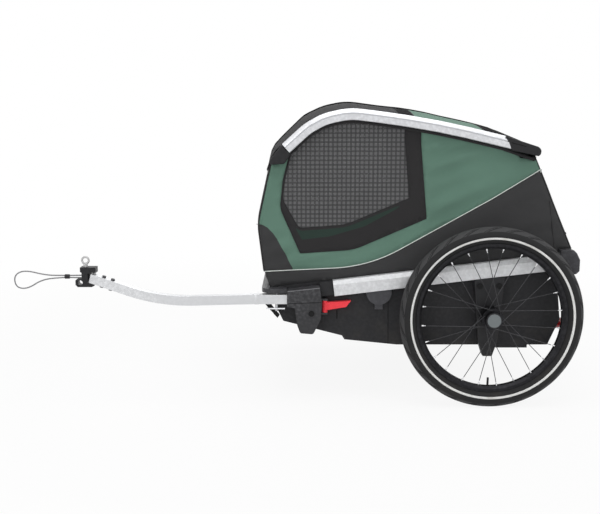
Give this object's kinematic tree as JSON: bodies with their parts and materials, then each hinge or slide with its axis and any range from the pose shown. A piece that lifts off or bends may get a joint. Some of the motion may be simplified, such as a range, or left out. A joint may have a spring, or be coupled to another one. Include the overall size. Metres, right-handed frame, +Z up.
{
  "type": "dog bike trailer",
  "caption": "Two-wheeled bicycle trailer for a dog: cloth cabin with net windows on a plastic tub, a frame that folds flat, a rear door, and a towing arm with a pinned hitch.",
  "frame": {"origin": "on the ground below the middle of the trailer's box, measured without the safety cable", "axes": "+X to the rear of the trailer along its length, +Y to its right side, along the wheel axles, +Z up"},
  "size_m": [1.5841, 0.7836, 0.8172],
  "materials": {
    "tyre": "grooved black",
    "butyl": "smooth",
    "steel": "satin",
    "dark_aluminium": "black anodised",
    "rail_aluminium": "satin anodised",
    "arm_aluminium": "satin anodised",
    "black_plastic": "fine grain",
    "tub_plastic": "fine grain",
    "grey_plastic": "satin",
    "red_plastic": "gloss",
    "reflector_red": "prismatic",
    "dark_cloth": "plain weave",
    "green_cloth": "plain weave",
    "black_cloth": "plain weave",
    "net": "open net",
    "liner_cloth": "padded",
    "webbing": "ribbed",
    "chrome_wire": "bright",
    "cable_coat": "smooth"
  },
  "bodies": {
    "chassis": {"side_rail_left": "rail_aluminium", "side_rail_right": "rail_aluminium", "rail_plugs": "black_plastic", "arm_receiver": "black_plastic", "front_bracket_right": "black_plastic", "front_bumper": "black_plastic", "rear_bumper": "black_plastic", "wheel_carrier_left": "black_plastic", "wheel_carrier_right": "black_plastic", "wheel_axle_left": "steel", "wheel_axle_right": "steel", "floor_tub": "tub_plastic", "floor_liner": "liner_cloth", "floor_beam": "black_plastic", "pivot_pins": "steel", "rear_reflectors": "reflector_red", "drain_covers": "black_plastic", "frame_bolts": "steel", "side_skirt_left": "dark_cloth", "side_panel_left": "green_cloth", "window_frame_left": "black_cloth", "window_net_left": "net", "side_skirt_right": "dark_cloth", "side_panel_right": "green_cloth", "window_frame_right": "black_cloth", "window_net_right": "net"},
    "rear_frame": {"rear_hoop": "dark_aluminium"},
    "rear_flap": {"rear_door": "dark_cloth"},
    "roof_frame": {"roof_rail_left": "rail_aluminium", "roof_rail_right": "rail_aluminium", "roof_front_caps": "black_plastic", "roof_rear_caps": "black_plastic", "roof_bows": "dark_aluminium", "roof_cover": "dark_cloth"},
    "front_frame": {"front_hoop": "dark_aluminium", "front_panel": "dark_cloth"},
    "towing_arm": {"hitch_arm": "arm_aluminium", "arm_pin": "steel", "hairpin_clip": "chrome_wire", "safety_strap": "webbing", "hitch_block": "black_plastic", "hitch_bolts": "steel", "safety_cable": "cable_coat", "cable_ferrule": "arm_aluminium"},
    "hitch_lock": {"hitch_lock_pin": "steel"},
    "lever": {"release_lever": "red_plastic"},
    "wheel_left": {"tyre_left": "tyre", "inner_tube_left": "butyl", "rim_left": "dark_aluminium", "spokes_left": "steel", "hub_shell_left": "dark_aluminium", "bearings_left": "steel"},
    "button_left": {"axle_button_left": "grey_plastic"},
    "wheel_right": {"tyre_right": "tyre", "inner_tube_right": "butyl", "rim_right": "dark_aluminium", "spokes_right": "steel", "hub_shell_right": "dark_aluminium", "bearings_right": "steel"},
    "button_right": {"axle_button_right": "grey_plastic"}
  },
  "joints": [
    {"name": "wheel_left_spin", "type": "hinge", "parent": "chassis", "child": "wheel_left", "pos_m": [0.453, -0.351, 0.25], "axis": [0, 1, 0], "continuous": true},
    {"name": "axle_button_left_press", "type": "slide", "parent": "chassis", "child": "button_left", "axis": [0, 1, 0], "range_m": [0, 0.003], "stiffness_N_per_m": 800},
    {"name": "wheel_right_spin", "type": "hinge", "parent": "chassis", "child": "wheel_right", "pos_m": [0.453, 0.351, 0.25], "axis": [0, 1, 0], "continuous": true},
    {"name": "axle_button_right_press", "type": "slide", "parent": "chassis", "child": "button_right", "axis": [0, -1, 0], "range_m": [0, 0.003], "stiffness_N_per_m": 800},
    {"name": "rear_hoop_fold", "type": "hinge", "parent": "chassis", "child": "rear_frame", "pos_m": [0.658, 0, 0.448], "axis": [0, -1, 0], "range_deg": [0, 66], "deforming": ["side_skirt_left", "side_panel_left", "window_frame_left", "window_net_left", "side_skirt_right", "side_panel_right", "window_frame_right", "window_net_right"]},
    {"name": "roof_level", "type": "hinge", "parent": "rear_frame", "child": "roof_frame", "pos_m": [0.548, 0, 0.7], "axis": [0, 1, 0], "range_deg": [0, 66]},
    {"name": "front_hoop_fold", "type": "hinge", "parent": "chassis", "child": "front_frame", "pos_m": [-0.141, 0, 0.345], "axis": [0, 1, 0], "range_deg": [0, 80]},
    {"name": "rear_door_open", "type": "hinge", "parent": "rear_frame", "child": "rear_flap", "pos_m": [0.65983, 0, 0.4728], "axis": [0, -1, 0], "range_deg": [-95, 0]},
    {"name": "arm_draw", "type": "slide", "parent": "chassis", "child": "towing_arm", "axis": [-1, 0, 0], "range_m": [0, 0.1]},
    {"name": "hitch_pin_lift", "type": "slide", "parent": "towing_arm", "child": "hitch_lock", "axis": [0, 0, 1], "range_m": [0, 0.02], "stiffness_N_per_m": 300},
    {"name": "lever_swing", "type": "hinge", "parent": "chassis", "child": "lever", "pos_m": [0.001, -0.302, 0.275], "axis": [0, 0, -1], "range_deg": [0, 50], "stiffness_Nm_per_rad": 0.4}
  ],
  "couplings": [
    {"joint": "roof_level", "follows": "rear_hoop_fold", "ratio": 1},
    {"joint": "front_hoop_fold", "follows": "rear_hoop_fold", "ratio": 1.2}
  ]
}
